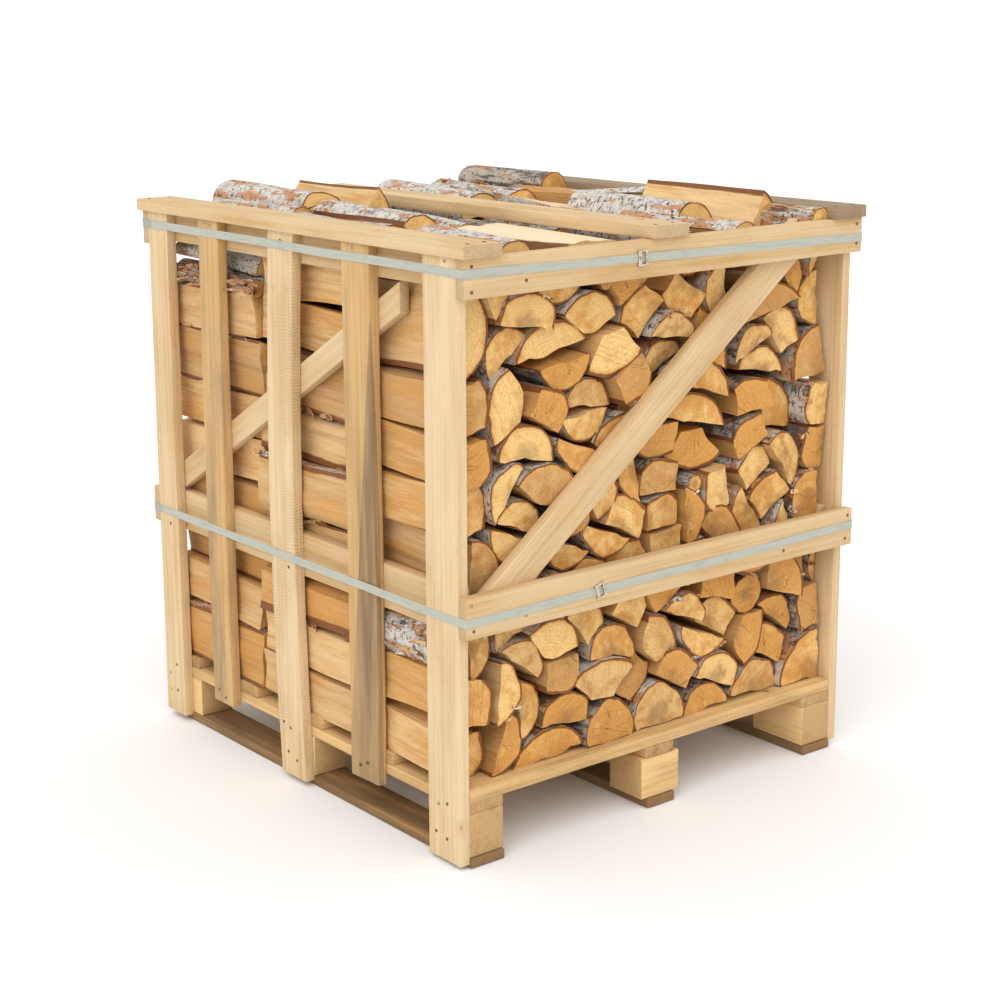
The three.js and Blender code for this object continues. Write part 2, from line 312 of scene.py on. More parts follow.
def saw_board(node, finish, look, arris=0.0018, waviness=0.0007, shape=None, strips=3):
    """Makes the board that stands for a node, with soft arrises, wandering faces and grain of its own."""
    board = copy_of(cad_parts[node], node + "_board")
    paint(board, finish)
    open_mesh(board)
    bpy.ops.mesh.remove_doubles(threshold=1e-5)
    bpy.ops.mesh.dissolve_limited(angle_limit=math.radians(0.5))
    bpy.ops.mesh.normals_make_consistent(inside=False)
    longest = max(bmesh.from_edit_mesh(board.data).edges, key=lambda edge: edge.calc_length())
    lengthwise = (longest.verts[1].co - longest.verts[0].co).normalized()
    for axis in Vector((1, 0, 0)), Vector((0, 1, 0)), Vector((0, 0, 1)):
        if abs(lengthwise.dot(axis)) > 0.99:
            lengthwise = axis
    low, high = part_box(node)
    size = [high[i] - low[i] for i in range(3)]
    thickness = Vector([float(i == size.index(min(size))) for i in range(3)])
    widthwise = thickness.cross(lengthwise).normalized()
    bpy.ops.mesh.select_all(action="DESELECT")
    bpy.ops.mesh.edges_select_sharp(sharpness=math.radians(30))
    bpy.ops.mesh.bevel(offset=arris, segments=2, affect="EDGES")

    corners = places_of(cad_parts[node])
    reach = corners @ numpy.array(lengthwise)
    spread = corners @ numpy.array(widthwise)
    middle = Vector((sum(c) / 2 for c in zip(low, high)))
    steps = max(3, round((reach.max() - reach.min()) / board_station))
    for i in range(1, steps):
        station = reach.min() + (reach.max() - reach.min()) * i / steps
        slice_mesh(lengthwise * station, lengthwise)
    for i in range(1, strips):
        station = spread.min() + (spread.max() - spread.min()) * i / strips
        slice_mesh(widthwise * station, widthwise)
    bpy.ops.object.mode_set(mode="OBJECT")

    places = places_of(board)
    axes = numpy.array([lengthwise, widthwise, thickness])
    in_board = (places - numpy.array(middle)) @ axes.T
    pith = (dice.uniform(-3, 3), dice.choice((-1, 1)) * dice.uniform(0.01, 0.09), dice.uniform(0.015, 0.07))
    store(board, "grain", in_board + numpy.array(pith))
    store_look(board, "look", look)
    ends = [float(abs(face.normal.dot(lengthwise)) > 0.8) for face in board.data.polygons]
    store(board, "end_grain", numpy.array(ends))
    if shape:
        in_board = shape(board, in_board)
    shift = numpy.array(noise.random_unit_vector()) * 40
    for place, own in zip(places, in_board):
        along = own[0] * 4
        wander = [noise.noise(Vector((along, own[k] * 14, k * 9)) + Vector(shift)) for k in (1, 2)]
        chip = noise.noise(Vector(own * 160) + Vector(shift)) * 0.35
        place[:] = numpy.array(middle) + axes.T @ (
            own + numpy.array([chip, wander[0] + chip, wander[1] + chip]) * waviness
        )
    # nothing goes below the ground
    places[:, 2] = numpy.maximum(places[:, 2], 0.0)
    put_places(board, places)
    smooth(board, 32)
    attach(board, "root")
    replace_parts(board, node)


dice = random.Random(11)
noise.seed_set(11)
pallet_finish = sawn_finish("pallet_wood", pallet_pale, pallet_deep, pallet_grey)
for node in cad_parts:
    kind = node.split("_")[0]
    if kind in pallet_looks:
        tone, dirt = pallet_looks[kind]
        look = (tone + dice.uniform(-0.3, 0.3), dirt + dice.uniform(-0.1, 0.1), dice.uniform(0, 0.4))
        saw_board(node, pallet_finish, look, rough_arris, rough_waviness)


# ---- Side slats ----
# Ten upright boards of pale softwood, five on each side, nailed outside the side rails and down onto the
# pallet. Some are clean, two on the left have weathered, and one of those still has the log's wane on it.
pine_pale = (0.74, 0.565, 0.345, 1)
pine_deep = (0.56, 0.345, 0.14, 1)
pine_grey = (0.30, 0.27, 0.24, 1)
worn_pale = (0.66, 0.43, 0.19, 1)
worn_deep = (0.44, 0.25, 0.09, 1)
worn_grey = (0.21, 0.18, 0.145, 1)
slat_looks = {
    "slat_left_1": (0.35, 0.0, 0.1),
    "slat_left_2": (0.0, 0.35, 0.1),
    "slat_left_3": (0.3, 0.0, 1.0),
    "slat_left_4": (0.1, 0.38, 0.2),
    "slat_left_5": (-0.15, 0.05, 0.1),
    "slat_right_1": (0.1, 0.05, 0.3),
    "slat_right_2": (-0.1, 0.1, 0.2),
    "slat_right_3": (0.0, 0.4, 0.2),
    "slat_right_4": (0.2, 0.05, 0.5),
    "slat_right_5": (0.0, 0.1, 0.1),
}
worn_slats = ("slat_left_2", "slat_left_4", "slat_right_3")
wane_start = 0.40              # above the middle of the slat, where the wane begins at the front edge
wane_spread = 0.105            # how much wider it is for each metre further down
wane_blend = 0.05              # metres of face that the stored number runs over
wane_slope = 0.06              # metres of face over which the wane sinks to its full depth
wane_depth = 0.003


def wane_slat(board, in_board):
    """The saw missed the log's round on the front outer arris, wider and wider towards the lower end."""
    places = places_of(board)
    from_front = places[:, 1] - places[:, 1].min()
    outer = (in_board[:, 2] < 0.0) * 1.0
    beyond = (wane_start - in_board[:, 0]) * wane_spread - from_front
    store(board, "wane", numpy.clip(0.5 + beyond / wane_blend, 0.0, 1.5) * outer)
    shaped = in_board.copy()
    shaped[:, 2] += outer * numpy.clip(beyond / wane_slope, 0.0, 1.0) * wane_depth
    return shaped


pine_finish = sawn_finish("clean_softwood", pine_pale, pine_deep, pine_grey)
worn_finish = sawn_finish("worn_softwood", worn_pale, worn_deep, worn_grey)
for node, look in slat_looks.items():
    finish, slot = (worn_finish, "worn_board") if node in worn_slats else (pine_finish, "pale_board")
    if node == "slat_left_2":
        saw_board(node, finish, look, shape=wane_slat, strips=10)
    else:
        saw_board(node, finish, look)


# ---- Rails, braces and top boards ----
# Straight softwood boards: rails round the crate at two heights, a slanted brace on every side, and three
# boards over the top that keep the logs in. All are nailed.
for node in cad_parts:
    kind = node.split("_")
    if "rail" in kind or "brace" in kind:
        look = (dice.uniform(-0.75, -0.45), dice.uniform(0.0, 0.12), dice.uniform(0.0, 0.5))
        if "brace" in kind:
            look = (dice.uniform(-0.35, -0.15), dice.uniform(0.05, 0.15), dice.uniform(0.5, 0.9))
        saw_board(node, pine_finish, look)
saw_board("top_board_left", pine_finish, (-0.45, 0.12, 0.2))
saw_board("top_board_middle", pine_finish, (-0.35, 0.15, 0.3))
saw_board("top_board_right", worn_finish, (-0.7, 0.85, 0.2))


# ---- Ranks of split logs ----
# Three ranks of birch logs, each log about a third of a metre long, sawn at both ends and split along the
# grain with an axe. White papery bark is left on the round side, with a rust-brown layer under it.
log_length = 0.330
log_rings = 38                 # corners round a whole log
log_stations = 9               # parts that a log is divided into along its length
split_strip = 0.016            # width of the strips that a split face is divided into
slow_bulge = 0.0085            # how far the log strays from its true shape over its length
quick_bulge = 0.0032           # and from one finger's width to the next
end_gold = (0.68, 0.335, 0.085, 1)
end_pale = (0.90, 0.60, 0.235, 1)
end_brown = (0.36, 0.145, 0.034, 1)
end_stale = (0.47, 0.30, 0.15, 1)
heart_grey = (0.23, 0.135, 0.06, 1)
# painted shade: the near-black colour laid along the drying cracks for the shade inside them
crack_painted_shade = (0.12, 0.055, 0.02, 1)
under_bark = (0.20, 0.065, 0.02, 1)
split_pale = (0.84, 0.58, 0.285, 1)
split_gold = (0.60, 0.31, 0.095, 1)
split_fresh = (0.96, 0.84, 0.60, 1)
bark_white = (0.72, 0.68, 0.62, 1)
bark_shade = (0.36, 0.30, 0.24, 1)
bark_dark = (0.075, 0.05, 0.035, 1)
bark_rust = (0.53, 0.215, 0.06, 1)
bark_grey = (0.34, 0.28, 0.215, 1)

# Each kind of log has a radius, then its splits as (how far out, which way): what lies further is gone.
# The fillers also have a length, and how much their shape strays.
log_kinds = {
    "half_large": (0.072, [(0.0, 270)]),
    "half": (0.064, [(0.004, 262)]),
    "half_small": (0.057, [(-0.004, 276)]),
    "half_deep": (0.060, [(0.021, 270)]),
    "third_large": (0.092, [(0.0, 300), (0.0, 240)]),
    "third": (0.081, [(0.002, 296), (0.0, 236)]),
    "quarter_large": (0.107, [(0.0, 315), (0.0, 225)]),
    "quarter": (0.097, [(0.0, 312), (0.0, 222)]),
    "quarter_blunt": (0.103, [(0.0, 315), (0.0, 225), (-0.024, 262)]),
    "sixth": (0.120, [(0.0, 330), (0.0, 210)]),
    "sixth_wide": (0.111, [(0.0, 325), (0.0, 211)]),
    "stave": (0.120, [(0.0, 328), (0.0, 212), (-0.039, 275)]),
    "stave_wide": (0.109, [(0.0, 322), (0.004, 214), (-0.032, 265)]),
    "slab": (0.098, [(-0.043, 270)]),
    "squared": (0.094, [(0.043, 0), (0.039, 184), (-0.024, 268)]),
    "round": (0.044, []),
    "sliver": (0.056, [(0.0, 332), (0.0, 208)], log_length, 0.5),
    "sliver_small": (0.042, [(0.0, 325), (0.0, 212)], log_length, 0.4),
    "chip": (0.034, [(0.0, 270)], log_length, 0.4),
    "lath": (0.052, [(-0.030, 270)], log_length, 0.4),
    "twig": (0.017, [], log_length, 0.3),
}
kind_shares = [3, 3, 2, 2, 4, 3, 5, 5, 4, 2, 2, 3, 3, 2, 3, 1, 0, 0, 0, 0, 0]      # how common each is
first_filler = 15              # from the small round length on, a kind also goes into the holes left over


# Each log also has a look of three numbers: how dark or rough it is, how rusty or grey at heart, and how
# smeared or stale.
def end_finish():
    """The sawn end: golden, with faint rings, a grey heart, drying cracks darkened with painted shade, and
    rust under the bark.
    """
    finish, start = new_finish("sawn_end")
    section = stored(start, "section")
    own = stored(start, "log_look")
    first, second, third = parts_of(own)
    flat = stretched(section, 1.0, 0.0, 1.0)
    out = length_of(flat)
    shifted = moved(flat, stretched(own, 31.0, 31.0, 31.0))
    cloud = mottle(shifted, (2.6, 2.6, 2.6), 4.0, 0.6)
    speck = mottle(shifted, (24.0, 24.0, 24.0), 4.0, 0.75)
    colour = blend(ramp(cloud + first * 0.55 - 0.28, 0.3, 0.68), end_pale, end_gold)
    colour = blend(ramp(third, 0.65, 1.0) * 0.4, colour, end_stale)
    rings = (out * 78.0 + cloud * 9.0).maths("SINE")
    colour = blend(ramp(rings, -0.2, 1.0) * 0.1, colour, end_brown)
    colour = blend(ramp(speck, 0.46, 0.72) * 0.5, colour, end_brown)
    heart = ramp(0.62 - out + cloud * 0.6, 0.3, 0.75) * ramp(second, 0.3, 0.7)
    colour = blend(heart * 0.5, colour, heart_grey)
    smear = ramp(mottle(shifted, (1.3, 1.3, 1.3), 3.0, 0.6), 0.52, 0.7) * ramp(third, 0.3, 0.8)
    colour = blend(smear * 0.45, colour, end_brown)
    # drying cracks run from the heart outwards: a real groove in the bump, and a near-black colour that is
    # painted shade inside them
    side, _, up = parts_of(section)
    spoke = start.node("CombineXYZ", {}, {0: up.maths("ARCTAN2", side), 1: out, 2: first})
    off_line = abs(mottle(spoke, (2.2, 0.8, 90.0), 1.0) - 0.5)
    crack = ramp(off_line, 0.007, 0.0) * ramp(out, 0.9, 0.4) * ramp(first, 0.72, 0.78)
    colour = blend(crack * 0.5, colour, crack_painted_shade)
    fringe = out + speck * 0.07 + cloud * 0.03
    colour = blend(ramp(fringe, 0.9, 0.99) * 0.6, colour, end_gold)
    colour = blend(ramp(fringe, 0.985, 1.005) * 0.95, colour, under_bark)
    # saw scratches, straight and parallel, on a slant of their own for each log
    slant = third * 6.28
    run = side * slant.maths("COSINE") + up * slant.maths("SINE")
    scratch = mottle(start.node("CombineXYZ", {}, {0: run, 1: second}), (34.0, 50.0, 1.0), 3.0)
    colour = blend(ramp(scratch, 0.5, 0.72) * 0.38, colour, end_brown)
    height = scratch * 0.5 + speck * 0.4 - crack * 1.2 - rings * 0.05
    coat(finish, start, colour, 0.75 + speck * 0.1, height, 0.0016, 0.2)
    return finish


def split_finish():
    """The split face: long pale fibres, torn and rippled along the log, browner under the bark."""
    finish, start = new_finish("split_face")
    section = stored(start, "section")
    own = stored(start, "log_look")
    first, second, third = parts_of(own)
    shifted = moved(section, stretched(own, 31.0, 31.0, 31.0))
    out = length_of(stretched(section, 1.0, 0.0, 1.0))
    fibre = mottle(shifted, (16.0, 9.0, 16.0), 4.0, 0.65)
    hair = mottle(shifted, (70.0, 22.0, 70.0), 2.0, 0.6)
    cloud = mottle(shifted, (2.2, 5.0, 2.2), 3.0, 0.55)
    colour = blend(ramp(fibre * 0.5 + cloud * 0.5 + first * 0.4 - 0.2, 0.3, 0.68), split_pale, split_gold)
    colour = blend(ramp(third, 0.45, 1.0) * 0.45, colour, end_stale)
    stripe = mottle(shifted, (7.0, 2.5, 7.0), 5.0, 0.7)
    colour = blend(ramp(stripe, 0.5, 0.72) * 0.5, colour, end_brown)
    colour = blend(ramp(cloud, 0.45, 0.68) * 0.5, colour, end_gold)
    colour = blend(ramp(hair, 0.5, 0.78) * 0.28, colour, end_brown)
    pith = ramp(out, 0.16, 0.0) * ramp(second, 0.3, 0.7)
    colour = blend(pith * 0.55, colour, heart_grey)
    colour = blend(ramp(first, 0.1, 0.02) * 0.6, colour, split_fresh)
    edge = ramp(out + fibre * 0.12 + cloud * 0.08, 0.965, 1.0)
    colour = blend(edge * 0.92, colour, under_bark)
    ripple = mottle(shifted, (3.0, 55.0, 3.0))
    height = fibre * 0.9 + hair * 0.35 + ripple * 0.18 * third
    coat(finish, start, colour, 0.62 + hair * 0.2, height, 0.0028, 0.28)
    return finish


def bark_finish():
    """Birch bark: papery white that peels to rust, dark breathing marks, and rough black plates."""
    finish, start = new_finish("birch_bark")
    section = stored(start, "section")
    own = stored(start, "log_look")
    first, second, _ = parts_of(own)
    shifted = moved(section, stretched(own, 31.0, 31.0, 31.0))
    paper = mottle(shifted, (3.5, 60.0, 3.5), 4.0, 0.65)
    marks = mottle(shifted, (5.0, 170.0, 5.0), 1.0, 0.4)
    plates = mottle(shifted, (4.0, 16.0, 4.0), 5.0, 0.7)
    peel = mottle(shifted, (2.2, 14.0, 2.2), 4.0, 0.6)
    grit = mottle(shifted, (40.0, 600.0, 40.0), 2.0, 0.7)
    colour = blend(ramp(paper, 0.38, 0.8), bark_white, bark_shade)
    colour = blend(ramp(first + plates * 0.5, 0.5, 1.1) * 0.7, colour, bark_grey)
    rust = ramp(peel + second * 0.2, 0.6, 0.7)
    colour = blend(rust * 0.85, colour, bark_rust)
    mark = ramp(marks, 0.6, 0.68)
    colour = blend(mark * 0.85, colour, bark_dark)
    rough = ramp(plates + first * 0.2, 0.64, 0.74)
    colour = blend(rough * 0.8, colour, bark_dark)
    colour = blend(ramp(grit, 0.48, 0.75) * 0.55, colour, bark_dark)
    height = paper * 0.4 - mark * 0.5 + rough * (plates * 2.4 - 0.8) + grit * 0.25 - rust * 0.35
    coat(finish, start, colour, 0.66 + grit * 0.2, height, 0.0026, 0.3)
    return finish


log_finishes = [end_finish(), split_finish(), bark_finish()]


def strips_across(edge):
    """How many strips a split face needs along this edge: none if it is narrow or runs along the log."""
    level = abs(edge.verts[0].co.y - edge.verts[1].co.y) < 1e-4
    wide = edge.calc_length() > split_strip * 1.5
    return round(edge.calc_length() / split_strip) if level and wide else 0


def split_log(name, radius, splits, length=log_length, swing=1.0):
    """One log with its pith along the Y axis: a round length, cut down to the kept side of each split."""
    bpy.ops.object.select_all(action="DESELECT")
    bpy.ops.mesh.primitive_cylinder_add(
        vertices=log_rings, radius=radius, depth=length, end_fill_type="NGON", rotation=(math.pi / 2, 0, 0)
    )
    log = bpy.context.object
    log.name = name
    bpy.ops.object.transform_apply(location=True, rotation=True, scale=True)
    open_mesh(log)
    for out, way in splits:
        beyond = Vector((math.cos(math.radians(way)), 0, math.sin(math.radians(way))))
        slice_mesh(beyond * out, beyond, use_fill=True, clear_outer=True)
    # the wide split faces are divided into strips along the log
    counts = {strips_across(edge) for edge in bmesh.from_edit_mesh(log.data).edges}
    for count in sorted(counts - {0}):
        bpy.ops.mesh.select_all(action="DESELECT")
        for edge in bmesh.from_edit_mesh(log.data).edges:
            if strips_across(edge) == count:
                edge.select_set(True)
        bpy.ops.mesh.subdivide(number_cuts=count - 1)
    for i in range(1, log_stations):
        slice_mesh((0, length * (i / log_stations - 0.5), 0), (0, 1, 0))
    # both ends: a narrow rim inside the edge, then a fan to the middle
    bpy.ops.mesh.select_all(action="DESELECT")
    shape = bmesh.from_edit_mesh(log.data)
    bpy.context.tool_settings.mesh_select_mode = (False, False, True)
    for face in shape.faces:
        face.select_set(abs(face.normal.y) > 0.9)
    bpy.ops.mesh.inset(thickness=radius * 0.08, depth=0.0)
    bpy.ops.mesh.poke()
    bpy.context.tool_settings.mesh_select_mode = (True, False, False)
    bpy.ops.mesh.select_all(action="SELECT")
    bpy.ops.mesh.normals_make_consistent(inside=False)
    bpy.ops.object.mode_set(mode="OBJECT")

    places = places_of(log)
    store(log, "section", places / numpy.array([radius, 1.0, radius]))
    out = numpy.hypot(places[:, 0], places[:, 2])
    paint(log, *log_finishes)
    for face in log.data.polygons:
        on_bark = min(out[v] for v in face.vertices) > radius * 0.985
        face.material_index = 0 if abs(face.normal.y) > 0.9 else 2 if on_bark else 1
    # the trunk was never quite round, the axe follows the fibres, and the saw cut a little askew
    shift = Vector(noise.random_unit_vector()) * 50
    lean = (dice.uniform(-0.12, 0.12), dice.uniform(-0.12, 0.12))
    taper = dice.uniform(-0.1, 0.1)
    twist = dice.uniform(-0.09, 0.09) * swing
    for place in places:
        x, y, z = place
        c, s = math.cos(twist * y / length * 2), math.sin(twist * y / length * 2)
        x, z = x * c - z * s, x * s + z * c
        slow = Vector((x * 20, y * 3.5, z * 20)) + shift
        quick = Vector((x * 75, y * 5, z * 75)) + shift
        grow = 1 + taper * y
        place[0] = x * grow + (noise.noise(slow) * slow_bulge + noise.noise(quick) * quick_bulge) * swing
        bulge = noise.noise(slow.yzx) * slow_bulge + noise.noise(quick.yzx) * quick_bulge
        place[2] = z * grow + bulge * swing
        place[1] = y + (lean[0] * x + lean[1] * z) + noise.noise(quick.zxy) * 0.0012
    put_places(log, places)
    smooth(log, 34)
    return log


masters = [split_log("master_" + kind, *shape) for kind, shape in log_kinds.items()]
column = 0.003                 # width of the columns that the stacking is reckoned in
turn_step = 15                 # degrees between the turns in which a log may lie
log_gap = 0.0018               # air between a log and the ones that lie on it
snug = 0.945                   # logs are stacked by their mean thickness: the thick places bed into hollows
wall_liking = 9.0              # how much a flat face against a side wall is preferred
wall_zone = 24                 # columns from a side wall in which a log has to reach the wall
gap_dislike = 0.009            # for each column of air that it leaves there


def turned_outline(points, angle, mirrored):
    c, s = math.cos(angle), math.sin(angle)
    flip = -1 if mirrored else 1
    return numpy.array([(x * flip * c - z * s, x * flip * s + z * c) for x, z in points])


def shadow(outline):
    """How a turned log stands: its left end, its low and high points by column, and the air beside it."""
    left = outline[:, 0].min()
    count = math.ceil((outline[:, 0].max() - left) / column)
    middles = left + (numpy.arange(count) + 0.5) * column
    low = numpy.full(count, numpy.inf)
    high = numpy.full(count, -numpy.inf)
    levels = numpy.linspace(outline[:, 1].min(), outline[:, 1].max(), 22)[1:-1]
    west = numpy.full(len(levels), numpy.inf)
    east = numpy.full(len(levels), -numpy.inf)
    for (ax, az), (bx, bz) in zip(outline, numpy.roll(outline, -1, 0)):
        if abs(ax - bx) > 1e-9:
            share = (middles - ax) / (bx - ax)
            inside = (share >= 0) & (share <= 1)
            heights = az + (bz - az) * share
            low[inside] = numpy.minimum(low[inside], heights[inside])
            high[inside] = numpy.maximum(high[inside], heights[inside])
        if abs(az - bz) > 1e-9:
            share = (levels - az) / (bz - az)
            inside = (share >= 0) & (share <= 1)
            reaches = ax + (bx - ax) * share
            west[inside] = numpy.minimum(west[inside], reaches[inside])
            east[inside] = numpy.maximum(east[inside], reaches[inside])
    for x, z in outline:
        at = min(count - 1, int((x - left) / column))
        low[at] = min(low[at], z)
        high[at] = max(high[at], z)
    return left, low, high, (west - west.min()).mean(), (east.max() - east).mean()


outlines = []
for master in masters:
    flat = [Vector((x, z)) * snug for x, y, z in places_of(master)]
    outlines.append([tuple(flat[i]) for i in geometry.convex_hull_2d(flat)])
turns = [(math.radians(a), mirrored) for a in range(0, 360, turn_step) for mirrored in (False, True)]
turned = [[turned_outline(outline, *turn) for turn in turns] for outline in outlines]
shadows = [[shadow(outline) for outline in row] for row in turned]
slat_room = 0.021              # how much wider a rank may be between the side rails, up to the slats
roof_room = 0.016              # how far the logs may stand above the top that is drawn for the rank
bite = 0.003                   # a thin log may bite this far into another: their faces are uneven
hole_tries = 4000              # places tried for thin logs in each rank
kinds_tried = 7                # for each log that is laid
turns_tried = 26               # for each of those kinds
patience = 12                  # a rank is full after this many logs that found no place
air_dislike = 1.3              # for the air left under a log
height_dislike = 0.12          # for a log that stands tall
whim = 0.002                   # keeps the choice between equal places open


def rails_beside(side, near, far):
    """The heights at which the rails and the brace on one side stand in the way of a rank."""
    blocked = []
    for rail in ("side_rail_middle_", "side_rail_top_"):
        low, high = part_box(rail + side)
        blocked.append((low[2], high[2]))
    brace = places_of(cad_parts["side_brace_" + side])
    low, high = brace.min(0), brace.max(0)
    front, back = brace[brace[:, 1] < low[1] + 0.001, 2], brace[brace[:, 1] > high[1] - 0.001, 2]
    reach = numpy.clip([near, far], low[1], high[1])
    if reach[1] > reach[0]:
        bottoms = numpy.interp(reach, (low[1], high[1]), (front.min(), back.min()))
        tops = numpy.interp(reach, (low[1], high[1]), (front.max(), back.max()))
        blocked.append((bottoms.min(), tops.max()))
    return blocked


def overlap(one, other):
    """Whether two rounded outlines share more than a bite, with no straight line between them."""
    for outline in (one, other):
        sides = numpy.roll(outline, -1, 0) - outline
        normals = numpy.array([sides[:, 1], -sides[:, 0]]) / numpy.hypot(*sides.T)
        first, second = one @ normals, other @ normals
        apart = (first.max(0) < second.min(0) + bite) | (second.max(0) < first.min(0) + bite)
        if apart.any():
            return False
    return True


def fill_holes(laid, box, roof, blocked, luck):
    """Drops thin logs into the holes of a rank, wherever one fits beside what lies there."""
    low, high = box
    logs = [turned[kind][turn] + (x, z) for kind, turn, x, z in laid]
    lows = numpy.array([log.min(0) for log in logs])
    highs = numpy.array([log.max(0) for log in logs])
    for attempt in range(hole_tries):
        kind = luck.integers(first_filler, len(masters))
        turn = luck.integers(len(turns))
        outline = turned[kind][turn]
        least, most = outline.min(0), outline.max(0)
        # against the slats or the rails on either side, or anywhere between
        x = (
            low[0] - slat_room - least[0], low[0] - least[0],
            high[0] + slat_room - most[0], high[0] - most[0],
            luck.uniform(low[0] - least[0], high[0] - most[0]),
        )[attempt % 5]
        z = luck.uniform(low[2] - least[1], high[2] - most[1])
        # it falls until it touches a log or the deck
        fits = False
        while z + least[1] > low[2]:
            beside = (lows < most + (x, z)).all(1) & (highs > least + (x, z)).all(1)
            if any(overlap(outline + (x, z), logs[i]) for i in numpy.flatnonzero(beside)):
                break
            fits = True
            z -= column
        if not fits:
            continue
        z += column
        above = numpy.interp((x + least[0], x, x + most[0]), *roof).min() < z + most[1]
        in_rail = [any(z + least[1] < b and z + most[1] > a for a, b in heights) for heights in blocked]
        held = (x + least[0] < low[0] and in_rail[0]) or (x + most[0] > high[0] and in_rail[1])
        if not above and not held:
            laid.append((kind, turn, x, z))
            logs.append(outline + (x, z))
            lows = numpy.vstack([lows, logs[-1].min(0)])
            highs = numpy.vstack([highs, logs[-1].max(0)])


def stack_rank(node, seed):
    """Lays logs one after another where they sit lowest and leave least air, up to the rank's own top."""
    low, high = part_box(node)
    start = low[0] - slat_room
    across = numpy.arange(start + column / 2, high[0] + slat_room - column / 2, column)
    wall = round(slat_room / column)
    blocked = [rails_beside(side, low[1], high[1]) for side in ("left", "right")]
    tops = places_of(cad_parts[node])
    tops = tops[tops[:, 2] > (low[2] + high[2]) / 2]
    tops = tops[numpy.argsort(tops[:, 0])]
    ceiling = numpy.interp(across, tops[:, 0], tops[:, 2]) + roof_room
    ground = numpy.full(len(across), low[2])
    luck = numpy.random.default_rng(seed)
    shares = numpy.array(kind_shares) / sum(kind_shares)
    laid = []
    misses = 0
    while misses < patience:
        best = None
        for kind in luck.choice(len(masters), size=kinds_tried, replace=False, p=shares):
            for turn in luck.choice(len(turns), size=turns_tried, replace=False):
                # what it costs to lay this log from each column on
                _, under, over, air_left, air_right = shadows[kind][turn]
                count = len(under)
                windows = numpy.lib.stride_tricks.sliding_window_view(ground, count)
                roofs = numpy.lib.stride_tricks.sliding_window_view(ceiling, count)
                rest = (windows - under).max(1)
                air = (rest[:, None] + under - windows).sum(1) / count
                cost = rest + (under + over).mean() / 2 + air_dislike * air
                cost = cost + (over.max() - under.min()) * height_dislike
                cost = cost + luck.random(len(cost)) * whim
                cost[(rest[:, None] + over - roofs).max(1) > 0] = numpy.inf
                # near a side it has to reach the slats, or the rail or brace that is in its way
                for costs, rests, air_beside, heights in (
                    (cost[:wall_zone], rest[:wall_zone], air_left, blocked[0]),
                    (cost[::-1][:wall_zone], rest[::-1][:wall_zone], air_right, blocked[1]),
                ):
                    held = numpy.zeros(len(rests), bool)
                    for low_end, high_end in heights:
                        held |= (rests + under.min() < high_end) & (rests + over.max() > low_end)
                    gap = numpy.arange(len(rests)) - numpy.where(held, wall, 0)
                    costs += numpy.where(gap < 0, numpy.inf, air_beside * wall_liking + gap * gap_dislike)
                at = int(cost.argmin())
                if cost[at] < numpy.inf and (best is None or cost[at] < best[0]):
                    best = (cost[at], kind, turn, at, rest[at])
        if best is None:
            misses += 1
            continue
        _, kind, turn, at, height = best
        left, under, over = shadows[kind][turn][:3]
        reach = slice(at, at + len(under))
        ground[reach] = numpy.maximum(ground[reach], height + over + log_gap)
        laid.append((kind, turn, start + at * column - left, height))
    fill_holes(laid, (low, high), (across, ceiling), blocked, luck)
    return laid, low, high


def lay_log(master, angle, mirrored, place, ends):
    """A copy of a master, turned on its axis, stretched between its two ends, and a little out of true."""
    log = copy_of(master, "log")
    places = places_of(log) * numpy.array([-1 if mirrored else 1, dice.choice((-1, 1)), 1])
    middle = (ends[0] + ends[1]) / 2
    places[:, 1] = middle + places[:, 1] * (ends[1] - ends[0]) / log_length
    c, s = math.cos(angle), math.sin(angle)
    x = places[:, 0] * c - places[:, 2] * s
    z = places[:, 0] * s + places[:, 2] * c
    along = places[:, 1] - middle
    lean = (dice.gauss(0, 0.007), dice.gauss(0, 0.018))
    places[:, 0] = place[0] + x + lean[0] * along
    places[:, 2] = place[1] + z + lean[1] * along
    put_places(log, places)
    store_look(log, "log_look", (dice.uniform(0.15, 1.0), dice.random(), dice.random()))
    return log


def join_logs(logs, name):
    bundle = join(logs)
    bundle.name = name
    open_mesh(bundle)
    bpy.ops.mesh.normals_make_consistent(inside=False)
    bpy.ops.object.mode_set(mode="OBJECT")
    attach(bundle, "root")
    return bundle


rank_seeds = {"front": 6, "middle": 3, "back": 5}      # the luck of each rank: these leave the fewest holes
layers = ("lower", "central", "upper")
set_back = 0.25                # share of the logs that stand well back from the face of their rank
wall_reach = 0.09              # at the back the logs this near to the left slats reach past the end brace
for rank, seed in rank_seeds.items():
    node = "log_rank_" + rank
    laid, low, high = stack_rank(node, seed)
    bundles = {layer: [] for layer in layers}
    for kind, turn, x, z in laid:
        angle, mirrored = turns[turn]
        back_in = dice.uniform(0.01, 0.032) if dice.random() < set_back else abs(dice.gauss(0, 0.007))
        ends = (low[1] + back_in, high[1] - abs(dice.gauss(0, 0.004)))
        if rank == "back":
            ends = (low[1] + abs(dice.gauss(0, 0.004)), high[1] - back_in)
            if x < low[0] + wall_reach:
                ends = (low[1], high[1] + dice.uniform(0.008, 0.016))
        share = (z - low[2]) / (high[2] - low[2])
        layer = layers[0 if share < 1 / 3 else 1 if share < 2 / 3 else 2]
        bundles[layer].append(lay_log(masters[kind], angle, mirrored, (x, z), ends))
    for layer, logs in bundles.items():
        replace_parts(join_logs(logs, f"logs_{rank}_{layer}"), node)


# ---- Loose logs on top ----
# Seven logs thrown on last, between the top boards, with smaller ones among them, and a short stick that
# fell through onto the pallet. They are split and sawn like the rest.
loose_swing = 0.8              # how much the shape of a loose log strays, against one in a rank

